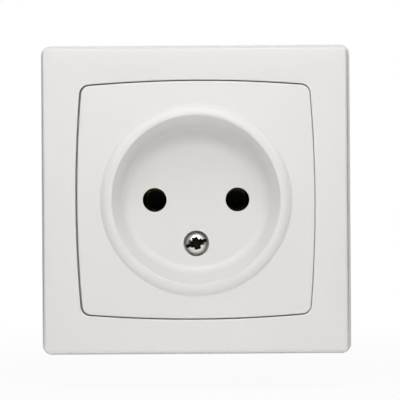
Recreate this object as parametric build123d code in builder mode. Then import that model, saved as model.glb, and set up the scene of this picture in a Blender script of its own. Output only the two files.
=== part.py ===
from build123d import *
import os
from math import asin, cos, radians, sin, tan

# Surface mounted socket for a plug with two round pins, in millimetres.
# The wall is the plane Y = 0, the front faces -Y and +Z is up. The origin is the middle of the back.
# A level is a distance from the wall towards the viewer: Plane.XZ.offset(level) is the sketch plane there.

# Wall box
box_width = 70.6  # outside, at the front rim
box_depth = 29.0  # from the wall to the rim
box_draft = 0.8  # degrees, narrower at the wall
box_corner = 1.8
box_inner_corner = 1.2
box_edge = 0.3  # small rounding of the outer edges
box_wall = 2.4
box_back = 2.0
back_rim = 4.0  # flat rim round the shallow recess in the back
back_recess = 0.6
back_rib = 4.0
pad_margin = 2.0  # flat pads round the holes in the back
land_height = 0.5  # land on the rim that carries the frame and leaves a shadow gap
land_width = 1.2
boss_height = 2.6  # bosses and rails under the contact carrier
boss_diameter = 6.5
rail_spacing = 28.0
rail_width = 1.6
rail_length = 36.0
fixing_spacing = 54.0  # slots for the wall screws
fixing_length = 8.0
fixing_width = 4.5
entry_rise = 27.0  # cable entry in the back
entry_length = 22.0
entry_width = 9.0
knockout_width = 14.0  # thin panels for a cable in the top and bottom walls
knockout_length = 14.0
knockout_level = 6.0
knockout_membrane = 0.9
groove_width = 0.6
groove_depth = 0.3

# Frame
frame_inset = 0.35  # how far the frame stands in from the rim of the box
frame_height = 8.5
frame_draft = 4.5  # degrees, narrower at the face
frame_corner = 1.6
frame_inner_corner = 1.1
frame_wall = 2.2
frame_face = 2.2
frame_round = 0.6
frame_edge = 0.3  # rounding of its back edge and of the opening
frame_play = 0.14  # the frame has settled this far to the left
ledge_drop = 3.2  # face of the cover to the ledge that carries it
ledge_thickness = 1.8
ledge_width = 2.5
sleeve_wall = 1.8
rib_thickness = 1.2
rib_spacing = 40.0
tab_length = 2.5  # ribs reach this far into the box to place the frame
tab_clearance = 0.25
tab_lead = 0.6  # chamfer that guides the tabs into the box

# Moulded cover
cover_width = 53.6  # between the middles of opposite sides
cover_bow = 1.15  # the sides swell this far outwards
cover_corner = 2.0
cover_gap = 0.25
cover_round = 0.35
plate_thickness = 2.2
rim_wall = 1.6
mouth_diameter = 38.0
collar_height = 1.3
collar_width = 2.65  # from the mouth to the foot of the collar
crest_width = 1.9
crest_round = 2.3  # bends most of the outer slope
mouth_round = 0.35
foot_round = 0.2
well_depth = 10.0  # face of the cover to the floor of the well
well_draft = 11.0  # degrees
well_round = 2.2
well_wall = 2.0
floor_thickness = 2.2
root_round = 1.0
gusset_reach = 5.0
gusset_height = 5.5
gusset_thickness = 1.4
gusset_turns = (45, 135, 225, 315)  # degrees, one towards each corner
pin_spacing = 19.0
pin_hole = 5.5
guide_wall = 1.5
guide_length = 1.5  # tube behind each pin hole

# Cover screw with its retainer and nut
screw_drop = 10.0  # below the pin holes
screw_diameter = 3.0
screw_length = 12.0
screw_chamfer = 0.4
head_diameter = 5.0
head_edge = 0.8  # straight rim under the domed top
head_dome = 1.2
recess_width = 0.85
recess_depth = 1.1
cross_length = 3.0
cross_depth = 1.5
recess_turn = 17.0  # degrees, as the screw was left
counterbore_diameter = 5.9
counterbore_depth = 2.6
screw_play = 0.3  # on the diameter of holes that a screw passes
screw_tip_gap = 0.3
seat_thickness = 1.0  # between the screw head and the retainer
retainer_diameter = 6.0
retainer_thickness = 0.8
retainer_play = 0.4
pocket_depth = 1.0
pillar_wall = 1.3
nut_width = 5.5
nut_thickness = 2.4
nut_cover = 4.7  # carrier boss above the nut
nut_play = 0.2
thread_play = 0.1  # on the diameter, threads are left plain

# Contact carrier
assembly_gap = 0.3  # between the cover and the carrier
base_thickness = 2.4
base_margin = 1.2
base_corner = 3.0
carrier_wall = 1.5
pocket_width = 9.4
pocket_end_play = 0.4
nut_boss_wall = 2.0
bridge_thickness = 1.5
pad_height = 3.6
terminal_guard = 0.8  # side walls stand this far above the terminal screws
carrier_screw_rise = 10.0  # upper screw, above the pin holes
carrier_screw_drop = 20.0  # lower screw, below them
carrier_screw_diameter = 2.9
carrier_screw_reach = 3.4  # below the carrier
carrier_head_diameter = 5.4
carrier_head_height = 1.9
carrier_head_round = 0.9

# Contacts and terminals
strip_thickness = 0.8
clip_width = 6.4
clip_entry = 5.8  # gap between the legs at the mouth
clip_throat = 3.9
clip_base = 5.6
clip_top_drop = 3.4  # below the walls of the carrier
flare_height = 3.4
throat_length = 4.2
groove_diameter = 4.4  # round groove in the legs for the pin, and the hole below it
bend_inside = 0.5
bend_easy = 1.6
tail_width = 6.6
tail_climb = 1.6  # length of the slope up to the terminal
terminal_run = 4.2  # from the slope to the terminal screw
tail_end = 3.8  # strip beyond the terminal screw
rivet_gap = 0.4  # between the clip and the rivet
step_gap = 1.0  # between the rivet and the slope
rivet_diameter = 2.4
rivet_bore = 1.4
rivet_flange = 4.0
rivet_flange_thickness = 0.6
rivet_play = 0.1
spring_thickness = 0.5
spring_height = 3.0
spring_lift = 0.6  # above the lower end of the throat
spring_end_play = 0.45
spring_opening = 2.4
wire_gap = 1.8
saddle_length = 7.0
saddle_width = 8.6
saddle_thickness = 1.0
saddle_lip = 1.0
terminal_screw_diameter = 3.5
terminal_screw_length = 6.2
terminal_hole_play = 0.9  # hole in the pad below the strip
terminal_tip_gap = 0.3
terminal_head_diameter = 6.0
terminal_head_height = 2.0
terminal_slot_width = 0.9
terminal_slot_depth = 1.1

# Levels that follow from the sizes above
seat_level = box_depth + land_height
face_level = seat_level + frame_height
frame_back = face_level - frame_face
ledge_level = face_level - ledge_drop
crest_level = face_level + collar_height
plate_back = face_level - plate_thickness
floor_level = face_level - well_depth
floor_back = floor_level - floor_thickness
guide_end = floor_back - guide_length
screw_seat = floor_level - counterbore_depth
screw_end = screw_seat - screw_length
pocket_level = screw_seat - seat_thickness
pillar_end = pocket_level - pocket_depth
carrier_level = box_back + boss_height
base_top = carrier_level + base_thickness
carrier_top = guide_end - assembly_gap
boss_top = pillar_end - assembly_gap
nut_top = boss_top - nut_cover
nut_bottom = nut_top - nut_thickness
pad_top = base_top + pad_height
saddle_level = pad_top + strip_thickness + wire_gap
head_level = saddle_level + saddle_thickness
terminal_end = head_level - terminal_screw_length
guard_level = head_level + terminal_head_height + terminal_guard
clip_top = carrier_top - clip_top_drop
throat_top = clip_top - flare_height
throat_bottom = throat_top - throat_length
spring_level = throat_bottom + spring_lift

# Widths and places that follow
pin_x = pin_spacing / 2
carrier_screw_places = [(0, carrier_screw_rise), (0, -carrier_screw_drop)]
frame_width = box_width - 2 * frame_inset
opening_width = cover_width + 2 * cover_gap
rivet_rise = clip_width / 2 + rivet_gap + rivet_flange / 2
tail_step = rivet_rise + rivet_flange / 2 + step_gap
terminal_rise = tail_step + tail_climb + terminal_run
tail_length = terminal_rise + tail_end
rivet_places = [(-pin_x, rivet_rise), (pin_x, rivet_rise)]
terminal_places = [(-pin_x, terminal_rise), (pin_x, terminal_rise)]
mouth_radius = mouth_diameter / 2
foot_radius = mouth_radius + collar_width
spring_half = clip_throat / 2 + strip_thickness
pocket_low = -(clip_width / 2 + spring_end_play + spring_thickness + pocket_end_play)
pocket_high = tail_length + pocket_end_play
nut_boss_diameter = nut_width + 2 * nut_boss_wall


def box_outside(level):
    """Width of the drafted box at a level."""
    return box_width - 2 * (box_depth - level) * tan(radians(box_draft))


def box_inside(level):
    """Width of the hollow of the box at a level."""
    return box_outside(level) - 2 * box_wall


def well_radius(level):
    """Radius of the drafted wall of the well at a level."""
    return mouth_radius - (crest_level - level) * tan(radians(well_draft))


def frame_plane(level):
    """Sketch plane of the frame, moved by its play."""
    return Plane.XZ.offset(level).move(Pos(-frame_play, 0, 0))


def bowed_square(width, corner):
    """Square whose four sides swell outwards, with rounded corners."""
    half = width / 2
    tip = half - cover_bow
    with BuildSketch() as outline:
        with BuildLine():
            ThreePointArc((-tip, -tip), (0, -half), (tip, -tip))
            ThreePointArc((tip, -tip), (half, 0), (tip, tip))
            ThreePointArc((tip, tip), (0, half), (-tip, tip))
            ThreePointArc((-tip, tip), (-half, 0), (-tip, -tip))
        make_face()
        fillet(outline.vertices(), corner)
    return outline.sketch


def save(part, label):
    """Label a finished piece and write its file."""
    part.label = label
    export_step(part, f"parts/{label}.step")


os.makedirs("parts", exist_ok=True)

# Wall box: drafted shell, open to the front, with bosses and rails for the carrier
with BuildPart() as surface_box:
    with BuildSketch(Plane.XZ):
        RectangleRounded(box_outside(0), box_outside(0), box_corner)
    extrude(amount=box_depth, taper=-box_draft)
    fillet(surface_box.faces().filter_by(Axis.Y).edges(), box_edge)
    land_outside = box_inside(box_depth) + 2 * land_width
    with BuildSketch(Plane.XZ.offset(box_depth)):
        RectangleRounded(land_outside, land_outside, box_corner)
    extrude(amount=land_height)
    with BuildSketch(Plane.XZ.offset(box_back)):
        RectangleRounded(box_inside(box_back), box_inside(box_back), box_inner_corner)
    extrude(amount=seat_level - box_back, taper=-box_draft, mode=Mode.SUBTRACT)
    with BuildSketch(Plane.XZ.offset(box_back)):
        with Locations(*carrier_screw_places):
            Circle(boss_diameter / 2)
        with GridLocations(rail_spacing, 0, 2, 1):
            Rectangle(rail_width, rail_length)
    extrude(amount=boss_height)
    with Locations(Plane.XZ.offset(carrier_level)):
        with Locations(*carrier_screw_places):
            Hole((carrier_screw_diameter + thread_play) / 2, carrier_screw_reach + screw_tip_gap)
    with BuildSketch(Plane.XZ):
        recess_side = box_outside(0) - 2 * back_rim
        RectangleRounded(recess_side, recess_side, box_inner_corner)
        Rectangle(recess_side, back_rib, mode=Mode.SUBTRACT)
        Rectangle(back_rib, recess_side, mode=Mode.SUBTRACT)
        with Locations(*carrier_screw_places):
            Circle(boss_diameter / 2, mode=Mode.SUBTRACT)
        with GridLocations(fixing_spacing, 0, 2, 1):
            SlotOverall(fixing_length + 2 * pad_margin, fixing_width + 2 * pad_margin, mode=Mode.SUBTRACT)
        with Locations((0, entry_rise)):
            SlotOverall(entry_length + 2 * pad_margin, entry_width + 2 * pad_margin, mode=Mode.SUBTRACT)
    extrude(amount=back_recess, mode=Mode.SUBTRACT)
    with BuildSketch(Plane.XZ):
        with GridLocations(fixing_spacing, 0, 2, 1):
            SlotOverall(fixing_length, fixing_width)
        with Locations((0, entry_rise)):
            SlotOverall(entry_length, entry_width)
    extrude(amount=box_back, mode=Mode.SUBTRACT)
    with BuildSketch(Plane.XZ.offset(knockout_level)):
        Rectangle(knockout_width, box_outside(knockout_level) - 2 * knockout_membrane)
    extrude(amount=knockout_length, taper=-box_draft, mode=Mode.SUBTRACT)
    groove_floor = box_outside(knockout_level) / 2 - groove_depth
    for floor, outwards in ((groove_floor, box_wall), (-groove_floor, -box_wall)):
        with BuildSketch(Plane.XY.offset(floor)):
            with Locations((0, -knockout_level - knockout_length / 2)):
                Rectangle(knockout_width, knockout_length)
                Rectangle(
                    knockout_width - 2 * groove_width,
                    knockout_length - 2 * groove_width,
                    mode=Mode.SUBTRACT,
                )
        extrude(amount=outwards, mode=Mode.SUBTRACT)
save(surface_box.part, "surface_box")

# Frame: thin skirt and face, with a sleeve and ledge round the opening and ribs that place it in the box
with BuildPart() as outer_frame:
    with BuildSketch(frame_plane(seat_level)):
        RectangleRounded(frame_width, frame_width, frame_corner)
    extrude(amount=frame_height, taper=frame_draft)
    fillet(outer_frame.faces().sort_by(Axis.Y)[0].edges(), frame_round)
    fillet(outer_frame.faces().sort_by(Axis.Y)[-1].edges(), frame_edge)
    with BuildSketch(frame_plane(seat_level)):
        RectangleRounded(frame_width - 2 * frame_wall, frame_width - 2 * frame_wall, frame_inner_corner)
    extrude(amount=frame_height - frame_face, taper=frame_draft, mode=Mode.SUBTRACT)
    with BuildSketch(frame_plane(ledge_level - ledge_thickness)):
        add(bowed_square(opening_width + 2 * sleeve_wall, cover_corner + cover_gap + sleeve_wall))
    extrude(amount=frame_back - ledge_level + ledge_thickness)
    tab_level = seat_level - tab_length
    tab_outer = box_inside(tab_level) / 2 - tab_clearance
    tab_inner = opening_width / 2
    with BuildSketch(frame_plane(tab_level)):
        with PolarLocations(0, 4):
            with Locations(((tab_inner + tab_outer) / 2, 0)):
                with GridLocations(0, rib_spacing, 1, 2):
                    Rectangle(tab_outer - tab_inner, rib_thickness)
    extrude(amount=frame_back - tab_level)
    tab_ends = outer_frame.faces().filter_by(Axis.Y).group_by(Axis.Y)[-1]
    frame_middle = (-frame_play, -tab_level, 0)
    chamfer([end.edges().sort_by_distance(frame_middle)[-1] for end in tab_ends], tab_lead)
    with BuildSketch(frame_plane(tab_level)):
        add(bowed_square(opening_width - 2 * ledge_width, cover_corner))
    extrude(amount=face_level - tab_level, mode=Mode.SUBTRACT)
    with BuildSketch(frame_plane(ledge_level)):
        add(bowed_square(opening_width, cover_corner + cover_gap))
    extrude(amount=ledge_drop, mode=Mode.SUBTRACT)
    fillet(outer_frame.faces().sort_by(Axis.Y)[0].inner_wires().edges(), frame_edge)
save(outer_frame.part, "outer_frame")

# Cover: bowed plate with one turned section for the collar, the well and its floor
with BuildPart() as socket_cover:
    with BuildSketch(Plane.XZ.offset(ledge_level)):
        add(bowed_square(cover_width, cover_corner))
    extrude(amount=ledge_drop)
    fillet(socket_cover.faces().sort_by(Axis.Y)[0].edges(), cover_round)
    with BuildSketch(Plane.XZ.offset(ledge_level)):
        add(bowed_square(cover_width - 2 * rim_wall, cover_corner))
    extrude(amount=ledge_drop - plate_thickness, mode=Mode.SUBTRACT)
    joint_radius = foot_radius + foot_round
    with BuildSketch(Plane.XZ.offset(plate_back)):
        Circle(joint_radius)
    extrude(amount=plate_thickness, mode=Mode.SUBTRACT)
    section = [
        (0, floor_level, 0),
        (well_radius(floor_level), floor_level, well_round),
        (mouth_radius, crest_level, mouth_round),
        (mouth_radius + crest_width, crest_level, crest_round),
        (foot_radius, face_level, foot_round),
        (joint_radius, face_level, 0),
        (joint_radius, plate_back, 0),
        (well_radius(plate_back) + well_wall, plate_back, root_round),
        (well_radius(floor_back) + well_wall, floor_back, well_round),
        (0, floor_back, 0),
    ]
    with BuildSketch(Plane.XY):
        with BuildLine():
            FilletPolyline(
                [(radius, -level) for radius, level, _ in section],
                radius=[rounding for _, _, rounding in section],
                close=True,
            )
        make_face()
    revolve(axis=Axis.Y)
    gusset_root = well_radius(plate_back) + well_wall / 2
    for turn in gusset_turns:
        with BuildSketch(Plane.XY.rotated((0, turn, 0))):
            with BuildLine():
                Polyline(
                    (gusset_root, -plate_back),
                    (gusset_root + gusset_reach, -plate_back),
                    (gusset_root, gusset_height - plate_back),
                    close=True,
                )
            make_face()
        extrude(amount=gusset_thickness / 2, both=True)
    with BuildSketch(Plane.XZ.offset(guide_end)):
        with GridLocations(pin_spacing, 0, 2, 1):
            Circle(pin_hole / 2 + guide_wall)
    extrude(amount=floor_back - guide_end)
    with BuildSketch(Plane.XZ.offset(pillar_end)):
        with Locations((0, -screw_drop)):
            Circle((retainer_diameter + retainer_play) / 2 + pillar_wall)
    extrude(amount=floor_back - pillar_end)
    with Locations(Plane.XZ.offset(floor_level)):
        with GridLocations(pin_spacing, 0, 2, 1):
            Hole(pin_hole / 2, floor_level - guide_end)
        with Locations((0, -screw_drop)):
            CounterBoreHole(
                (screw_diameter + screw_play) / 2,
                counterbore_diameter / 2,
                counterbore_depth,
                floor_level - pillar_end,
            )
    with BuildSketch(Plane.XZ.offset(pillar_end)):
        with Locations((0, -screw_drop)):
            Circle((retainer_diameter + retainer_play) / 2)
    extrude(amount=pocket_depth, mode=Mode.SUBTRACT)
save(socket_cover.part, "socket_cover")

# Cover screw: domed head with a slot across it and a short cross recess
with BuildPart() as cover_screw:
    with BuildSketch(Plane.XZ.offset(screw_end)):
        with Locations((0, -screw_drop)):
            Circle(screw_diameter / 2)
    extrude(amount=screw_length)
    chamfer(cover_screw.edges().sort_by(Axis.Y)[-1], screw_chamfer)
    head_radius = head_diameter / 2
    head_shoulder = screw_seat + head_edge
    head_top = head_shoulder + head_dome
    dome_radius = (head_radius**2 + head_dome**2) / (2 * head_dome)
    dome_half = asin(head_radius / dome_radius) / 2
    dome_middle = head_top - dome_radius * (1 - cos(dome_half))
    with BuildSketch(Plane.XY.offset(-screw_drop)):
        with BuildLine():
            Polyline(
                (0, -head_top),
                (0, -screw_seat),
                (head_radius, -screw_seat),
                (head_radius, -head_shoulder),
            )
            ThreePointArc(
                (head_radius, -head_shoulder),
                (dome_radius * sin(dome_half), -dome_middle),
                (0, -head_top),
            )
        make_face()
    revolve(axis=Axis((0, 0, -screw_drop), (0, 1, 0)))
    with BuildSketch(Plane.XZ.offset(head_top)):
        with Locations((0, -screw_drop)):
            Rectangle(head_diameter, recess_width, rotation=recess_turn)
    extrude(amount=-recess_depth, mode=Mode.SUBTRACT)
    with BuildSketch(Plane.XZ.offset(head_top)):
        with Locations((0, -screw_drop)):
            Rectangle(cross_length, recess_width, rotation=recess_turn)
            Rectangle(recess_width, cross_length, rotation=recess_turn)
    extrude(amount=-cross_depth, mode=Mode.SUBTRACT)
save(cover_screw.part, "cover_screw")

# Retainer: washer on the screw, in the pocket behind the floor of the well
with BuildPart() as screw_retainer:
    with BuildSketch(Plane.XZ.offset(pocket_level - retainer_thickness)):
        with Locations((0, -screw_drop)):
            Circle(retainer_diameter / 2)
            Circle((screw_diameter + thread_play) / 2, mode=Mode.SUBTRACT)
    extrude(amount=retainer_thickness)
save(screw_retainer.part, "screw_retainer")

# Nut: square nut held against turning in the carrier
with BuildPart() as captive_nut:
    with BuildSketch(Plane.XZ.offset(nut_bottom)):
        with Locations((0, -screw_drop)):
            Rectangle(nut_width, nut_width)
            Circle((screw_diameter + thread_play) / 2, mode=Mode.SUBTRACT)
    extrude(amount=nut_thickness)
save(captive_nut.part, "captive_nut")

# Contact carrier: base plate with two contact wells, terminal pads and the nut boss
with BuildPart() as contact_carrier:
    well_outside = pocket_width + 2 * carrier_wall
    base_half = pin_x + well_outside / 2 + base_margin
    base_high = pocket_high + carrier_wall + base_margin
    base_low = -carrier_screw_drop - carrier_head_diameter / 2 - base_margin
    with BuildSketch(Plane.XZ.offset(carrier_level)):
        with Locations((0, (base_high + base_low) / 2)):
            RectangleRounded(2 * base_half, base_high - base_low, base_corner)
    extrude(amount=base_thickness)
    low_wall = pocket_low - carrier_wall
    with BuildSketch(Plane.XZ.offset(base_top)):
        with GridLocations(pin_spacing, 0, 2, 1):
            with Locations((0, (low_wall + tail_step) / 2)):
                Rectangle(well_outside, tail_step - low_wall)
        Rectangle(pin_spacing, bridge_thickness)
    extrude(amount=carrier_top - base_top)
    with BuildSketch(Plane.XZ.offset(base_top)):
        with Locations((0, -screw_drop)):
            Circle(nut_boss_diameter / 2)
    extrude(amount=boss_top - base_top)
    with BuildSketch(Plane.XZ.offset(base_top)):
        with GridLocations(pin_spacing, 0, 2, 1):
            with Locations((0, (tail_step + pocket_high + carrier_wall) / 2)):
                Rectangle(well_outside, pocket_high + carrier_wall - tail_step)
    extrude(amount=guard_level - base_top)
    with BuildSketch(Plane.XZ.offset(base_top)):
        with GridLocations(pin_spacing, 0, 2, 1):
            with Locations((0, (pocket_low + pocket_high) / 2)):
                Rectangle(pocket_width, pocket_high - pocket_low)
    extrude(amount=carrier_top - base_top, mode=Mode.SUBTRACT)
    pad_low = tail_step + tail_climb + bend_inside
    with BuildSketch(Plane.XZ.offset(base_top)):
        with GridLocations(pin_spacing, 0, 2, 1):
            with Locations((0, (pad_low + pocket_high) / 2)):
                Rectangle(pocket_width, pocket_high - pad_low)
    extrude(amount=pad_height)
    with BuildSketch(Plane.XZ.offset(pad_top)):
        with GridLocations(pin_spacing, 0, 2, 1):
            with Locations((0, pocket_high + carrier_wall / 2)):
                Rectangle(pocket_width, carrier_wall)
    extrude(amount=guard_level - pad_top, mode=Mode.SUBTRACT)
    with Locations(Plane.XZ.offset(pad_top)):
        with Locations(*terminal_places):
            Hole(
                (terminal_screw_diameter + terminal_hole_play) / 2,
                pad_top - terminal_end + terminal_tip_gap,
            )
    with Locations(Plane.XZ.offset(base_top)):
        with Locations(*rivet_places):
            Hole((rivet_diameter + rivet_play) / 2, base_thickness)
        with Locations(*carrier_screw_places):
            Hole((carrier_screw_diameter + screw_play) / 2, base_thickness)
    with Locations(Plane.XZ.offset(boss_top)):
        with Locations((0, -screw_drop)):
            Hole((screw_diameter + screw_play) / 2, boss_top - screw_end + screw_tip_gap)
    slot_high = nut_width / 2 + nut_play
    slot_low = nut_boss_diameter
    with BuildSketch(Plane.XZ.offset(nut_bottom - nut_play)):
        with Locations((0, (slot_high - slot_low) / 2 - screw_drop)):
            Rectangle(nut_width + nut_play, slot_high + slot_low)
    extrude(amount=nut_thickness + nut_play, mode=Mode.SUBTRACT)
save(contact_carrier.part, "contact_carrier")

# Contacts and their springs, one of each for every pin
for side, x in (("left", -pin_x), ("right", pin_x)):
    # Contact: folded strip with two sprung legs and a raised tail for the terminal
    with BuildPart() as contact:
        legs = [
            (clip_entry / 2, clip_top),
            (clip_throat / 2, throat_top),
            (clip_throat / 2, throat_bottom),
            (clip_base / 2, base_top + strip_thickness),
        ]
        left_leg = [(x - half, -level) for half, level in legs]
        right_leg = [(x + half, -level) for half, level in reversed(legs)]
        with BuildSketch(Plane.XY):
            with BuildLine():
                FilletPolyline(
                    left_leg + right_leg,
                    radius=[bend_easy, bend_easy, bend_inside, bend_inside, bend_easy, bend_easy],
                )
                offset(amount=strip_thickness, side=Side.LEFT)
            make_face()
        extrude(amount=clip_width / 2, both=True)
        with BuildSketch(Plane.YZ.offset(x)):
            with BuildLine():
                FilletPolyline(
                    (-base_top, clip_width / 2),
                    (-base_top, tail_step),
                    (-pad_top, tail_step + tail_climb),
                    (-pad_top, tail_length),
                    radius=[bend_inside + strip_thickness, bend_inside],
                )
                offset(amount=strip_thickness, side=Side.LEFT)
            make_face()
        extrude(amount=tail_width / 2, both=True)
        with Locations(Plane.XZ.offset(clip_top)):
            with Locations((x, 0)):
                Hole(groove_diameter / 2)
        with Locations(Plane.XZ.offset(pad_top + strip_thickness)):
            with Locations((x, terminal_rise)):
                Hole((terminal_screw_diameter + thread_play) / 2, strip_thickness)
        with Locations(Plane.XZ.offset(base_top + strip_thickness)):
            with Locations((x, rivet_rise)):
                Hole((rivet_diameter + rivet_play) / 2, strip_thickness)
    save(contact.part, f"contact_{side}")

    # Spring: open ring of flat wire round the throat of the contact
    with BuildPart() as contact_spring:
        end = clip_width / 2 + spring_end_play
        with BuildSketch(Plane.XZ.offset(spring_level)):
            with Locations((x, 0)):
                RectangleRounded(
                    2 * (spring_half + spring_thickness),
                    2 * (end + spring_thickness),
                    spring_end_play + spring_thickness,
                )
                RectangleRounded(2 * spring_half, 2 * end, spring_end_play, mode=Mode.SUBTRACT)
            with Locations((x, end)):
                Rectangle(spring_opening, 2 * end, mode=Mode.SUBTRACT)
        extrude(amount=spring_height)
    save(contact_spring.part, f"contact_spring_{side}")

# Rivets: hollow, flanged on both sides of the carrier and the contact
with BuildPart() as contact_rivets:
    rivet_low = carrier_level - rivet_flange_thickness
    rivet_high = base_top + strip_thickness
    for level in (rivet_low, rivet_high):
        with BuildSketch(Plane.XZ.offset(level)):
            with Locations(*rivet_places):
                Circle(rivet_flange / 2)
        extrude(amount=rivet_flange_thickness)
    with BuildSketch(Plane.XZ.offset(carrier_level)):
        with Locations(*rivet_places):
            Circle(rivet_diameter / 2)
    extrude(amount=rivet_high - carrier_level)
    with Locations(Plane.XZ.offset(rivet_high + rivet_flange_thickness)):
        with Locations(*rivet_places):
            Hole(rivet_bore / 2)
save(contact_rivets.part, "contact_rivets")

# Saddles: clamp plates with lips that keep the wire in
with BuildPart() as clamp_saddles:
    with BuildSketch(Plane.XZ.offset(saddle_level - saddle_lip)):
        with Locations(*terminal_places):
            Rectangle(saddle_width, saddle_length)
    extrude(amount=saddle_lip + saddle_thickness)
    with BuildSketch(Plane.XZ.offset(saddle_level - saddle_lip)):
        with Locations(*terminal_places):
            Rectangle(saddle_width - 2 * saddle_thickness, saddle_length)
    extrude(amount=saddle_lip, mode=Mode.SUBTRACT)
    with Locations(Plane.XZ.offset(head_level)):
        with Locations(*terminal_places):
            Hole((terminal_screw_diameter + screw_play) / 2)
save(clamp_saddles.part, "clamp_saddles")

# Terminal screws: slotted cheese heads
with BuildPart() as terminal_screws:
    with BuildSketch(Plane.XZ.offset(terminal_end)):
        with Locations(*terminal_places):
            Circle(terminal_screw_diameter / 2)
    extrude(amount=terminal_screw_length)
    with BuildSketch(Plane.XZ.offset(head_level)):
        with Locations(*terminal_places):
            Circle(terminal_head_diameter / 2)
    extrude(amount=terminal_head_height)
    with BuildSketch(Plane.XZ.offset(head_level + terminal_head_height)):
        with Locations(*terminal_places):
            Rectangle(terminal_head_diameter, terminal_slot_width)
    extrude(amount=-terminal_slot_depth, mode=Mode.SUBTRACT)
save(terminal_screws.part, "terminal_screws")

# Carrier screws: self-tapping, with rounded heads
with BuildPart() as carrier_screws:
    with BuildSketch(Plane.XZ.offset(carrier_level - carrier_screw_reach)):
        with Locations(*carrier_screw_places):
            Circle(carrier_screw_diameter / 2)
    extrude(amount=carrier_screw_reach + base_thickness)
    with BuildSketch(Plane.XZ.offset(base_top)):
        with Locations(*carrier_screw_places):
            Circle(carrier_head_diameter / 2)
    extrude(amount=carrier_head_height)
    fillet(carrier_screws.faces().sort_by(Axis.Y)[:2].edges(), carrier_head_round)
    with BuildSketch(Plane.XZ.offset(base_top + carrier_head_height)):
        with Locations(*carrier_screw_places):
            Rectangle(cross_length, recess_width)
            Rectangle(recess_width, cross_length)
    extrude(amount=-recess_depth, mode=Mode.SUBTRACT)
save(carrier_screws.part, "carrier_screws")
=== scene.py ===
from math import cos, pi, radians, sin

import bpy
from mathutils import Matrix, Vector


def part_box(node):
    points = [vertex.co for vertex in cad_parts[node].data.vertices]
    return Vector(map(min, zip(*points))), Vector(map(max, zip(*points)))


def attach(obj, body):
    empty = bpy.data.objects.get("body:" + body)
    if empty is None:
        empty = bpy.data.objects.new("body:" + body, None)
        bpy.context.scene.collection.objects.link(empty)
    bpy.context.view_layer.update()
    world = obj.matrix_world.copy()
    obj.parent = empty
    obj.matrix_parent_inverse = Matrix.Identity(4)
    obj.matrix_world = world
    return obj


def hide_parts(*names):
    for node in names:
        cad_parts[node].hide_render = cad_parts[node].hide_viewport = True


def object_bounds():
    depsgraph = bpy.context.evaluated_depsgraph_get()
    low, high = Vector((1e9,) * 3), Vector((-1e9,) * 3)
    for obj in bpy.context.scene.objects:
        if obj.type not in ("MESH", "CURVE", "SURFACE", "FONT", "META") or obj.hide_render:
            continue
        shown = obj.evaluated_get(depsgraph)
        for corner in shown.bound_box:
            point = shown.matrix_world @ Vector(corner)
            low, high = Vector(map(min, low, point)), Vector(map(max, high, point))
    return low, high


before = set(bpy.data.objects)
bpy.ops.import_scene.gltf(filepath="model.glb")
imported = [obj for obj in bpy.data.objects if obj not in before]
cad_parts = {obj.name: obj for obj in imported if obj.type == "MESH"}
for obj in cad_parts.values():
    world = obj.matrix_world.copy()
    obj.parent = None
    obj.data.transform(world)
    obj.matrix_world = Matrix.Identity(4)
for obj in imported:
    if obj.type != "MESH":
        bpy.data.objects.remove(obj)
cad_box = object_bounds()
scene = bpy.context.scene
scene.view_settings.view_transform = "Standard"

MM = 0.001


def linear(hex_colour):
    """Linear RGBA of an sRGB hex colour."""
    channels = [int(hex_colour[i : i + 2], 16) / 255 for i in (0, 2, 4)]
    return [c / 12.92 if c <= 0.04045 else ((c + 0.055) / 1.055) ** 2.4 for c in channels] + [1.0]


def per_mm(size):
    """Texture scale whose pattern repeats about once in this many millimetres."""
    return 1 / (size * MM)


def add_node(tree, kind, settings=(), links=()):
    """New node of a tree. Settings go to its properties or else to its inputs.

    Links name an input and the node, or the output of a node, that feeds it.
    """
    node = tree.nodes.new(kind)
    for name, value in dict(settings).items():
        if isinstance(name, str) and hasattr(node, name):
            setattr(node, name, value)
        else:
            node.inputs[name].default_value = value
    for name, source in dict(links).items():
        tree.links.new(source.outputs[0] if isinstance(source, bpy.types.Node) else source, node.inputs[name])
    return node


def new_material(name):
    """Empty node material and its tree."""
    material = bpy.data.materials.new(name)
    material.use_nodes = True
    material.node_tree.nodes.clear()
    return material, material.node_tree


def moulded_plastic(name, light, dark, gloss, grain, grain_depth):
    """Moulded plastic: an even body, faintly cloudy, with the fine grain and the slow ripple of its mould."""
    material, tree = new_material(name)
    place = add_node(tree, "ShaderNodeTexCoord").outputs["Object"]
    cloud = add_node(tree, "ShaderNodeTexNoise", {"Scale": per_mm(18), "Detail": 3.0}, {"Vector": place})
    spark = add_node(tree, "ShaderNodeTexNoise", {"Scale": per_mm(grain), "Detail": 2.0}, {"Vector": place})
    ripple = add_node(tree, "ShaderNodeTexNoise", {"Scale": per_mm(7), "Detail": 1.0}, {"Vector": place})
    tint = add_node(
        tree, "ShaderNodeMix", {"data_type": "RGBA", 6: linear(dark), 7: linear(light)}, {0: cloud}
    )
    sheen = add_node(tree, "ShaderNodeMapRange", {"To Min": gloss[0], "To Max": gloss[1]}, {"Value": spark})
    waved = add_node(tree, "ShaderNodeBump", {"Strength": 0.3, "Distance": 0.01 * MM}, {"Height": ripple})
    relief = add_node(
        tree,
        "ShaderNodeBump",
        {"Strength": 0.3, "Distance": grain_depth * MM},
        {"Height": spark, "Normal": waved},
    )
    body = add_node(
        tree,
        "ShaderNodeBsdfPrincipled",
        {"IOR": 1.5},
        {"Base Color": tint.outputs[2], "Roughness": sheen, "Normal": relief},
    )
    add_node(tree, "ShaderNodeOutputMaterial", {}, {"Surface": body})
    return material


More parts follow.
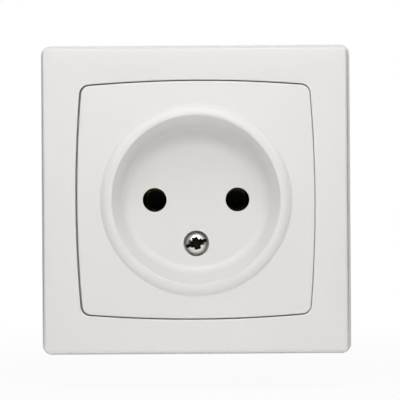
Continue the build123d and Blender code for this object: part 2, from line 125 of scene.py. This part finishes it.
def rolled_metal(name, light, dark, gloss, streak):
    """Pressed or rolled metal: fine lines along the strip that change its colour and gloss a little."""
    material, tree = new_material(name)
    place = add_node(tree, "ShaderNodeTexCoord").outputs["Object"]
    drawn = add_node(tree, "ShaderNodeMapping", {"Scale": [per_mm(x) for x in streak]}, {"Vector": place})
    lines = add_node(tree, "ShaderNodeTexNoise", {"Scale": 1.0, "Detail": 3.0}, {"Vector": drawn})
    tint = add_node(
        tree, "ShaderNodeMix", {"data_type": "RGBA", 6: linear(dark), 7: linear(light)}, {0: lines}
    )
    sheen = add_node(tree, "ShaderNodeMapRange", {"To Min": gloss[0], "To Max": gloss[1]}, {"Value": lines})
    scratches = add_node(tree, "ShaderNodeBump", {"Strength": 0.2, "Distance": 0.002 * MM}, {"Height": lines})
    body = add_node(
        tree,
        "ShaderNodeBsdfPrincipled",
        {"Metallic": 1.0},
        {"Base Color": tint.outputs[2], "Roughness": sheen, "Normal": scratches},
    )
    add_node(tree, "ShaderNodeOutputMaterial", {}, {"Surface": body})
    return material


def turned_metal(name, light, dark, gloss, dull_painted_shade):
    """Plated screw steel: rings from the lathe round its axis, faint stains, and, where the head marks it, a
    rougher gloss with painted near-black shade in the recess and at the rim.
    """
    material, tree = new_material(name)
    place = add_node(tree, "ShaderNodeTexCoord")
    radius = add_node(tree, "ShaderNodeVectorMath", {"operation": "LENGTH"}, {0: place.outputs["UV"]})
    rings = add_node(
        tree,
        "ShaderNodeTexNoise",
        {"noise_dimensions": "1D", "Scale": per_mm(0.12), "Detail": 2.0},
        {"W": radius.outputs["Value"]},
    )
    stains = add_node(
        tree, "ShaderNodeTexNoise", {"Scale": per_mm(1.5), "Detail": 3.0}, {"Vector": place.outputs["Object"]}
    )
    tint = add_node(
        tree, "ShaderNodeMix", {"data_type": "RGBA", 6: linear(dark), 7: linear(light)}, {0: stains}
    )
    sheen = add_node(tree, "ShaderNodeMapRange", {"To Min": gloss[0], "To Max": gloss[1]}, {"Value": rings})
    marks = add_node(tree, "ShaderNodeBump", {"Strength": 0.25, "Distance": 0.002 * MM}, {"Height": rings})
    # Painted shade: where the head marks it, the recess and the rim turn near-black, and rougher
    dull_painted_share = add_node(tree, "ShaderNodeAttribute", {"attribute_name": "dull_painted_shade"}).outputs["Fac"]
    tint = add_node(
        tree, "ShaderNodeMix", {"data_type": "RGBA", 7: linear(dull_painted_shade)}, {0: dull_painted_share, 6: tint.outputs[2]}
    )
    sheen = add_node(tree, "ShaderNodeMix", {3: 0.6}, {0: dull_painted_share, 2: sheen})
    body = add_node(
        tree,
        "ShaderNodeBsdfPrincipled",
        {"Metallic": 1.0},
        {"Base Color": tint.outputs[2], "Roughness": sheen, "Normal": marks},
    )
    add_node(tree, "ShaderNodeOutputMaterial", {}, {"Surface": body})
    return material


# Satin white plastic outside, the box a little duller; black and cream plastic, brass darkened as painted
# shade, and steel inside
frame_plastic = moulded_plastic("white_abs_frame", "E9E8E7", "E6E5E3", (0.34, 0.42), 0.5, 0.0015)
cover_plastic = moulded_plastic("white_abs_cover", "E9E8E7", "E6E5E3", (0.34, 0.42), 0.5, 0.0015)
box_plastic = moulded_plastic("white_abs_box", "E8E7E4", "E4E3DF", (0.42, 0.55), 0.45, 0.006)
carrier_plastic = moulded_plastic("black_phenolic", "1D1D1E", "151516", (0.4, 0.6), 0.3, 0.006)
nylon = moulded_plastic("natural_nylon", "E4DECF", "D9D2C0", (0.45, 0.6), 0.4, 0.004)
# Painted shade: the screw steel turns near-black and rougher in its recesses and at its rims
screw_steel = turned_metal("nickel_plated_screw", "F0EEE8", "E2DFD7", (0.12, 0.22), "24221F")
pressed_steel = rolled_metal("nickel_plated_strip", "D6D3CB", "C2BEB4", (0.2, 0.34), (0.3, 1.5, 0.3))
# Painted shade: the brass is set darker than clean brass, so that it stays dark inside the pin holes
brass = rolled_metal("rolled_brass", "937844", "6E562B", (0.1, 0.18), (0.25, 2.0, 4.0))
spring_steel = rolled_metal("blued_spring_steel", "6D6F74", "4C4E55", (0.25, 0.4), (0.3, 2.0, 2.0))

finishes = {
    "surface_box": box_plastic,
    "outer_frame": frame_plastic,
    "socket_cover": cover_plastic,
    "cover_screw": screw_steel,
    "screw_retainer": nylon,
    "captive_nut": pressed_steel,
    "contact_carrier": carrier_plastic,
    "contact_left": brass,
    "contact_right": brass,
    "contact_spring_left": spring_steel,
    "contact_spring_right": spring_steel,
    "contact_rivets": brass,
    "clamp_saddles": pressed_steel,
    "terminal_screws": screw_steel,
    "carrier_screws": screw_steel,
}

# Smooth shading across fine facets, with edges sharper than the crisp angle kept
smoothing = bpy.data.node_groups.new("smooth_facets", "GeometryNodeTree")
smoothing.interface.new_socket("Geometry", in_out="INPUT", socket_type="NodeSocketGeometry")
crisp = smoothing.interface.new_socket("Crisp angle", in_out="INPUT", socket_type="NodeSocketFloat")
crisp.default_value = radians(28)
smoothing.interface.new_socket("Geometry", in_out="OUTPUT", socket_type="NodeSocketGeometry")
given = add_node(smoothing, "NodeGroupInput").outputs
welded = add_node(
    smoothing, "GeometryNodeMergeByDistance", {"Distance": 1e-6}, {"Geometry": given["Geometry"]}
)
bend = add_node(smoothing, "GeometryNodeInputMeshEdgeAngle")
gentle = add_node(
    smoothing,
    "FunctionNodeCompare",
    {"operation": "LESS_EQUAL"},
    {"A": bend.outputs["Unsigned Angle"], "B": given["Crisp angle"]},
)
soft_edges = add_node(
    smoothing, "GeometryNodeSetShadeSmooth", {"domain": "EDGE"}, {"Geometry": welded, "Shade Smooth": gentle}
)
soft_faces = add_node(
    smoothing,
    "GeometryNodeSetShadeSmooth",
    {"domain": "FACE", "Shade Smooth": True},
    {"Geometry": soft_edges},
)
add_node(smoothing, "NodeGroupOutput", {}, {"Geometry": soft_faces})

for name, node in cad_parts.items():
    node.data.materials.clear()
    node.data.materials.append(finishes[name])
    node.modifiers.new("smooth_facets", "NODES").node_group = smoothing

# Screw maker: on each point, a threaded shank behind the seat and, before it, a domed head with its recess
maker = bpy.data.node_groups.new("turned_screw", "GeometryNodeTree")
maker.interface.new_socket("Geometry", in_out="INPUT", socket_type="NodeSocketGeometry")
screw_sizes = {
    name: maker.interface.new_socket(name, in_out="INPUT", socket_type="NodeSocketFloat").identifier
    for name in (
        "Thread radius",
        "Thread depth",
        "Pitch",
        "Shank length",
        "Head radius",
        "Head edge",
        "Dome radius",
        "Dome rise",
        "Rim width",
        "Slot depth",
        "Cross depth",
        "Slot inner",
        "Slot outer",
        "Cross inner",
        "Cross outer",
        "Arm inner",
        "Arm outer",
        "Turn",
    )
}
maker.interface.new_socket("Geometry", in_out="OUTPUT", socket_type="NodeSocketGeometry")
given = add_node(maker, "NodeGroupInput").outputs
place = add_node(maker, "GeometryNodeInputPosition")
local = add_node(maker, "ShaderNodeSeparateXYZ", {}, {0: place}).outputs

# Thread: a ridge that climbs one pitch in each turn and runs out at both ends of the shank
shank = add_node(
    maker,
    "GeometryNodeMeshCylinder",
    {"Vertices": 40, "Side Segments": 200},
    {"Radius": given["Thread radius"], "Depth": given["Shank length"]},
)
around = add_node(maker, "ShaderNodeMath", {"operation": "ARCTAN2"}, {0: local["Y"], 1: local["X"]})
turns = add_node(maker, "ShaderNodeMath", {"operation": "DIVIDE", 1: 2 * pi}, {0: around})
climb = add_node(maker, "ShaderNodeMath", {"operation": "DIVIDE"}, {0: local["Z"], 1: given["Pitch"]})
phase = add_node(maker, "ShaderNodeMath", {"operation": "ADD"}, {0: turns, 1: climb})
flank = add_node(maker, "ShaderNodeMath", {"operation": "PINGPONG", 1: 0.5}, {0: phase})
half_shank = add_node(maker, "ShaderNodeMath", {"operation": "MULTIPLY", 1: 0.5}, {0: given["Shank length"]})
runout = add_node(maker, "ShaderNodeMath", {"operation": "SUBTRACT"}, {0: half_shank, 1: given["Pitch"]})
off_middle = add_node(maker, "ShaderNodeMath", {"operation": "ABSOLUTE"}, {0: local["Z"]})
full = add_node(
    maker,
    "ShaderNodeMapRange",
    {"To Min": 2.0, "To Max": 0.0},
    {"Value": off_middle, "From Min": runout, "From Max": half_shank},
)
ridge = add_node(maker, "ShaderNodeMath", {"operation": "MULTIPLY"}, {0: flank, 1: full})
valley = add_node(maker, "ShaderNodeMath", {"operation": "SUBTRACT", 0: 1.0}, {1: ridge})
cut_in = add_node(maker, "ShaderNodeMath", {"operation": "MULTIPLY"}, {0: valley, 1: given["Thread depth"]})
share = add_node(maker, "ShaderNodeMath", {"operation": "DIVIDE"}, {0: cut_in, 1: given["Thread radius"]})
narrower = add_node(maker, "ShaderNodeMath", {"operation": "SUBTRACT", 0: 1.0}, {1: share})
waist = add_node(maker, "ShaderNodeCombineXYZ", {"Z": 1.0}, {"X": narrower, "Y": narrower})
threaded = add_node(maker, "ShaderNodeVectorMath", {"operation": "MULTIPLY"}, {0: place, 1: waist})
behind = add_node(maker, "ShaderNodeMath", {"operation": "MULTIPLY", 1: -0.5}, {0: given["Shank length"]})
behind_seat = add_node(maker, "ShaderNodeCombineXYZ", {}, {"Z": behind})
shank = add_node(
    maker, "GeometryNodeSetPosition", {}, {"Geometry": shank, "Position": threaded, "Offset": behind_seat}
)

# Head: the front of a disc raised to a dome, less the slot right across it and the deeper cross in its middle
head = add_node(
    maker,
    "GeometryNodeMeshCylinder",
    {"fill_type": "TRIANGLE_FAN", "Vertices": 224, "Side Segments": 1, "Fill Segments": 64},
    {"Radius": given["Head radius"], "Depth": given["Head edge"]},
)
across = add_node(maker, "ShaderNodeVectorMath", {"operation": "MULTIPLY", 1: (1, 1, 0)}, {0: place})
away = add_node(maker, "ShaderNodeVectorMath", {"operation": "LENGTH"}, {0: across})
away_squared = add_node(maker, "ShaderNodeMath", {"operation": "POWER", 1: 2.0}, {0: away.outputs["Value"]})
ball_squared = add_node(maker, "ShaderNodeMath", {"operation": "POWER", 1: 2.0}, {0: given["Dome radius"]})
rest = add_node(maker, "ShaderNodeMath", {"operation": "SUBTRACT"}, {0: ball_squared, 1: away_squared})
ball = add_node(maker, "ShaderNodeMath", {"operation": "SQRT"}, {0: rest})
fall = add_node(maker, "ShaderNodeMath", {"operation": "SUBTRACT"}, {0: given["Dome radius"], 1: ball})
dome = add_node(maker, "ShaderNodeMath", {"operation": "SUBTRACT"}, {0: given["Dome rise"], 1: fall})
back_turn = add_node(maker, "ShaderNodeMath", {"operation": "MULTIPLY", 1: -1.0}, {0: given["Turn"]})
driver = add_node(
    maker, "ShaderNodeVectorRotate", {"rotation_type": "Z_AXIS"}, {"Vector": place, "Angle": back_turn}
)
driver = add_node(maker, "ShaderNodeVectorMath", {"operation": "ABSOLUTE"}, {0: driver})
driver = add_node(maker, "ShaderNodeSeparateXYZ", {}, {0: driver}).outputs
slot_width = {"From Min": given["Slot inner"], "From Max": given["Slot outer"]}
width = {"From Min": given["Cross inner"], "From Max": given["Cross outer"]}
length = {"From Min": given["Arm inner"], "From Max": given["Arm outer"]}
falloff = {"interpolation_type": "SMOOTHSTEP", "To Min": 1.0, "To Max": 0.0}
slot = add_node(maker, "ShaderNodeMapRange", falloff, {"Value": driver["Y"]} | slot_width)
along = add_node(maker, "ShaderNodeMapRange", falloff, {"Value": driver["Y"]} | width)
along_end = add_node(maker, "ShaderNodeMapRange", falloff, {"Value": driver["X"]} | length)
cross = add_node(maker, "ShaderNodeMapRange", falloff, {"Value": driver["X"]} | width)
cross_end = add_node(maker, "ShaderNodeMapRange", falloff, {"Value": driver["Y"]} | length)
arm_along = add_node(maker, "ShaderNodeMath", {"operation": "MULTIPLY"}, {0: along, 1: along_end})
arm_across = add_node(maker, "ShaderNodeMath", {"operation": "MULTIPLY"}, {0: cross, 1: cross_end})
arms = add_node(maker, "ShaderNodeMath", {"operation": "MAXIMUM"}, {0: arm_along, 1: arm_across})
cuts = []
for shape, depth in ((slot, given["Slot depth"]), (arms, given["Cross depth"])):
    bottom = add_node(maker, "ShaderNodeMath", {"operation": "SUBTRACT"}, {0: given["Dome rise"], 1: depth})
    over = add_node(maker, "ShaderNodeMath", {"operation": "SUBTRACT"}, {0: dome, 1: bottom})
    over = add_node(maker, "ShaderNodeMath", {"operation": "MAXIMUM", 1: 0.0}, {0: over})
    cuts.append(add_node(maker, "ShaderNodeMath", {"operation": "MULTIPLY"}, {0: over, 1: shape}))
cut = add_node(maker, "ShaderNodeMath", {"operation": "MAXIMUM"}, {0: cuts[0], 1: cuts[1]})
front = add_node(maker, "ShaderNodeMath", {"operation": "SUBTRACT"}, {0: dome, 1: cut})
front = add_node(maker, "ShaderNodeCombineXYZ", {}, {"Z": front})
on_front = add_node(maker, "FunctionNodeCompare", {"operation": "GREATER_THAN"}, {"A": local["Z"]})
# Painted shade: the recess, by its depth, and a band round the rim are marked to take a near-black colour
recess = add_node(maker, "ShaderNodeMapRange", {"From Min": 0.1 * MM, "From Max": 0.4 * MM}, {"Value": cut})
rim = add_node(
    maker, "ShaderNodeMath", {"operation": "SUBTRACT"}, {0: given["Head radius"], 1: given["Rim width"]}
)
rim_dull_painted_shade = add_node(
    maker,
    "ShaderNodeMapRange",
    {"To Max": 0.8},
    {"Value": away.outputs["Value"], "From Min": rim, "From Max": given["Head radius"]},
)
dull_painted_shade = add_node(maker, "ShaderNodeMath", {"operation": "MAXIMUM"}, {0: recess, 1: rim_dull_painted_shade})
head = add_node(
    maker,
    "GeometryNodeStoreNamedAttribute",
    {"data_type": "FLOAT", "domain": "POINT", "Name": "dull_painted_shade"},
    {"Geometry": head, "Value": dull_painted_shade},
)
head = add_node(
    maker, "GeometryNodeSetPosition", {}, {"Geometry": head, "Selection": on_front, "Offset": front}
)
half_edge = add_node(maker, "ShaderNodeMath", {"operation": "MULTIPLY", 1: 0.5}, {0: given["Head edge"]})
on_seat = add_node(maker, "ShaderNodeCombineXYZ", {}, {"Z": half_edge})
head = add_node(maker, "GeometryNodeSetPosition", {}, {"Geometry": head, "Offset": on_seat})

screw = add_node(maker, "GeometryNodeJoinGeometry", {}, {"Geometry": head})
maker.links.new(shank.outputs[0], screw.inputs["Geometry"])
screw = add_node(
    maker,
    "GeometryNodeStoreNamedAttribute",
    {"data_type": "FLOAT2", "domain": "CORNER", "Name": "UVMap"},
    {"Geometry": screw, "Value": place},
)
screw = add_node(maker, "GeometryNodeGroup", {"node_tree": smoothing}, {"Geometry": screw})
set_screws = add_node(
    maker,
    "GeometryNodeInstanceOnPoints",
    {"Rotation": (radians(90), 0, 0)},
    {"Points": given["Geometry"], "Instance": screw},
)
set_screws = add_node(maker, "GeometryNodeRealizeInstances", {}, {"Geometry": set_screws})
set_screws = add_node(maker, "GeometryNodeSetMaterial", {"Material": screw_steel}, {"Geometry": set_screws})
add_node(maker, "NodeGroupOutput", {}, {"Geometry": set_screws})


def fit_screws(name, node, seats, sizes, turn):
    """Turned screws on their seats in place of a CAD node, from sizes in millimetres."""
    points = bpy.data.meshes.new(name)
    points.from_pydata(seats, [], [])
    blank = bpy.data.objects.new(name, points)
    scene.collection.objects.link(blank)
    turned = blank.modifiers.new("turned_screw", "NODES")
    turned.node_group = maker
    for label, size in sizes.items():
        turned[screw_sizes[label]] = size * MM
    radius, rise = sizes["Head radius"], sizes["Dome rise"]
    turned[screw_sizes["Dome radius"]] = (radius**2 + rise**2) / (2 * rise) * MM
    turned[screw_sizes["Turn"]] = radians(turn)
    shape = bpy.data.meshes.new_from_object(blank.evaluated_get(bpy.context.evaluated_depsgraph_get()))
    bpy.data.objects.remove(blank)
    piece = bpy.data.objects.new(name, shape)
    scene.collection.objects.link(piece)
    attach(piece, "root")
    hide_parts(node)


low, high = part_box("cover_screw")
head_radius = (high.x - low.x) / 2
shank = 12.0
fit_screws(
    "cover_screw_turned",
    "cover_screw",
    [((low.x + high.x) / 2, high.y - shank * MM, (low.z + high.z) / 2)],
    {
        "Thread radius": 1.5,
        "Thread depth": 0.28,
        "Pitch": 0.5,
        "Shank length": shank,
        "Head radius": head_radius / MM,
        "Head edge": 1.3,
        "Dome rise": 0.7,
        "Rim width": 0.35,
        "Slot depth": 1.2,
        "Cross depth": 1.7,
        "Slot inner": 0.26,
        "Slot outer": 0.42,
        "Cross inner": 0.45,
        "Cross outer": 0.75,
        "Arm inner": 1.1,
        "Arm outer": 1.45,
    },
    17,
)
low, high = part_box("terminal_screws")
head_radius = (high.z - low.z) / 2
shank = 6.2
fit_screws(
    "terminal_screws_turned",
    "terminal_screws",
    [(x, high.y - shank * MM, (low.z + high.z) / 2) for x in (low.x + head_radius, high.x - head_radius)],
    {
        "Thread radius": 1.75,
        "Thread depth": 0.33,
        "Pitch": 0.6,
        "Shank length": shank,
        "Head radius": head_radius / MM,
        "Head edge": 1.8,
        "Dome rise": 0.2,
        "Rim width": 0.1,
        "Slot depth": 1.1,
        "Cross depth": 0.0,
        "Slot inner": 0.4,
        "Slot outer": 0.5,
        "Cross inner": 0.0,
        "Cross outer": 0.1,
        "Arm inner": 0.0,
        "Arm outer": 0.1,
    },
    0,
)
low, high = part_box("carrier_screws")
head_radius = (high.x - low.x) / 2
shank = 5.8
fit_screws(
    "carrier_screws_turned",
    "carrier_screws",
    [(0, high.y - shank * MM, z) for z in (low.z + head_radius, high.z - head_radius)],
    {
        "Thread radius": 1.45,
        "Thread depth": 0.42,
        "Pitch": 1.1,
        "Shank length": shank,
        "Head radius": head_radius / MM,
        "Head edge": 0.8,
        "Dome rise": 1.1,
        "Rim width": 0.2,
        "Slot depth": 0.0,
        "Cross depth": 1.3,
        "Slot inner": 0.0,
        "Slot outer": 0.1,
        "Cross inner": 0.3,
        "Cross outer": 0.48,
        "Arm inner": 1.3,
        "Arm outer": 1.6,
    },
    30,
)

# Camera: straight on, far enough for the narrow perspective, rolled as the photograph was taken
camera_data = bpy.data.cameras.new("camera")
camera_data.lens = 239.6
camera_data.sensor_width = 36.0
camera_data.clip_end = 50.0
camera = bpy.data.objects.new("camera", camera_data)
camera.matrix_world = (
    Matrix.Translation(Vector((0.9, -638.0, -0.07)) * MM)
    @ Matrix.Rotation(radians(90), 4, "X")
    @ Matrix.Rotation(radians(-0.37), 4, "Z")
)
scene.collection.objects.link(camera)
scene.camera = camera


def studio_card(name, corners, paint):
    """Flat card of the studio: the table or a card that only shades and mirrors."""
    mesh = bpy.data.meshes.new(name)
    mesh.from_pydata(corners, [], [(0, 1, 2, 3)])
    mesh.materials.append(paint)
    card = bpy.data.objects.new(name, mesh)
    scene.collection.objects.link(card)
    return card


def seen_rays(tree):
    """1 where a surface is seen, directly, mirrored or through clear material, and 0 where it only lights."""
    rays = add_node(tree, "ShaderNodeLightPath").outputs
    direct, mirrored, through = rays["Is Camera Ray"], rays["Is Glossy Ray"], rays["Is Transmission Ray"]
    seen = add_node(tree, "ShaderNodeMath", {"operation": "MAXIMUM"}, {0: direct, 1: mirrored})
    return add_node(tree, "ShaderNodeMath", {"operation": "MAXIMUM"}, {0: seen, 1: through})


# White table: seen, it is white with a faint shadow near the object, and it bounces the light of the lamps
table_paint, tree = new_material("white_table")
seen = seen_rays(tree)
spot = add_node(tree, "ShaderNodeTexCoord").outputs["Object"]
away = add_node(tree, "ShaderNodeVectorMath", {"operation": "LENGTH"}, {0: spot})
clear = add_node(
    tree,
    "ShaderNodeMapRange",
    {"interpolation_type": "SMOOTHSTEP", "From Min": 0.07, "From Max": 0.3, "To Min": 0.93, "To Max": 1.0},
    {"Value": away.outputs["Value"]},
)
glow = add_node(tree, "ShaderNodeMath", {"operation": "MULTIPLY"}, {0: seen, 1: clear})
shaded = add_node(tree, "ShaderNodeBsdfDiffuse", {"Color": linear("F0EFED")})
white = add_node(tree, "ShaderNodeEmission", {"Color": linear("FFFFFF"), "Strength": 1.0})
mix = add_node(tree, "ShaderNodeMixShader", {}, {0: glow, 1: shaded, 2: white})
add_node(tree, "ShaderNodeOutputMaterial", {}, {"Surface": mix})
table_gap = 8 * MM
table_z = cad_box[0].z - table_gap
reach = 3.0
studio_card(
    "table",
    [(-reach, -reach, table_z), (reach, -reach, table_z), (reach, reach, table_z), (-reach, reach, table_z)],
    table_paint,
)

# Black cards: one along each side draws the dark edges of a pale object, one before it only shows in polished
# metal, and one behind the camera darkens what mirrors it
card_paint, tree = new_material("black_card")
matt = add_node(tree, "ShaderNodeBsdfDiffuse", {"Color": linear("2A2A2A")})
add_node(tree, "ShaderNodeOutputMaterial", {}, {"Surface": matt})
card_top = 50 * MM
side_cards = (("card", -120 * MM, 600 * MM, True), ("mirror_card", -280 * MM, -120 * MM, False))
for side, x in (("left", -110 * MM), ("right", 110 * MM)):
    for name, near, far, shades in side_cards:
        corners = [(x, near, table_z), (x, far, table_z), (x, far, card_top), (x, near, card_top)]
        side_card = studio_card(f"{name}_{side}", corners, card_paint)
        side_card.visible_camera = False
        side_card.visible_diffuse = side_card.visible_shadow = shades
x, y, z = 250 * MM, -660 * MM, 200 * MM
camera_card = studio_card("card_camera", [(-x, y, -z), (x, y, -z), (x, y, z), (-x, y, z)], card_paint)
camera_card.visible_camera = False

# World: white where it is seen, an even studio light elsewhere
world = bpy.data.worlds.new("studio")
world.use_nodes = True
scene.world = world
tree = world.node_tree
tree.nodes.clear()
seen = seen_rays(tree)
ambient = add_node(tree, "ShaderNodeBackground", {"Color": linear("FFFFFF"), "Strength": 0.245})
white = add_node(tree, "ShaderNodeBackground", {"Color": linear("FFFFFF"), "Strength": 1.0})
mix = add_node(tree, "ShaderNodeMixShader", {}, {0: seen, 1: ambient, 2: white})
add_node(tree, "ShaderNodeOutputWorld", {}, {"Surface": mix})


def softbox(name, place, aim, size, watts):
    """Rectangular soft lamp that looks at a point."""
    data = bpy.data.lights.new(name, "AREA")
    data.shape = "RECTANGLE"
    data.size, data.size_y = size
    data.energy = watts
    lamp = bpy.data.objects.new(name, data)
    lamp.location = place
    lamp.rotation_euler = (Vector(aim) - Vector(place)).to_track_quat("-Z", "Y").to_euler()
    scene.collection.objects.link(lamp)
    return lamp


front_middle = Vector((0, -0.03, 0))


def lamp_stand(azimuth, elevation, distance):
    """Place of a lamp seen from the front of the object, angles in degrees."""
    turn, rise = radians(azimuth), radians(elevation)
    towards = Vector((sin(turn) * cos(rise), -cos(turn) * cos(rise), sin(rise)))
    return front_middle + towards * distance


# Lamps: a broad one above the camera, a near one higher up, one on each side, a low one behind for the back,
# a panel on the table that fills from below, and a weak panel beside each side wall, behind the front faces
softbox("lamp_front", lamp_stand(0, 18, 1.0), front_middle, (0.5, 0.5), 4.8)
softbox("lamp_above", lamp_stand(0, 45, 0.45), front_middle, (0.3, 0.3), 0.56)
softbox("lamp_left", lamp_stand(-65, 35, 0.7), front_middle, (0.35, 0.35), 0.9)
softbox("lamp_right", lamp_stand(65, 35, 0.7), front_middle, (0.35, 0.35), 0.83)
lamp_back = softbox("lamp_back", lamp_stand(180, 12, 0.9), front_middle, (0.5, 0.35), 4.0)
lamp_back.visible_glossy = False
near, far = 0.032, 0.25
middle = Vector((0, -(near + far) / 2, table_z + 0.5 * MM))
panels = [softbox("panel_below", middle, middle + Vector((0, 0, 1)), (0.6, far - near), 0.09)]
wall_middle = Vector((0, 0, 4 * MM))
for side, x in (("left", -105 * MM), ("right", 105 * MM)):
    panels.append(softbox(f"panel_{side}", wall_middle + Vector((x, 0, 0)), wall_middle, (0.06, 0.08), 0.007))
for panel in panels:
    panel.visible_camera = False
    panel.visible_glossy = False
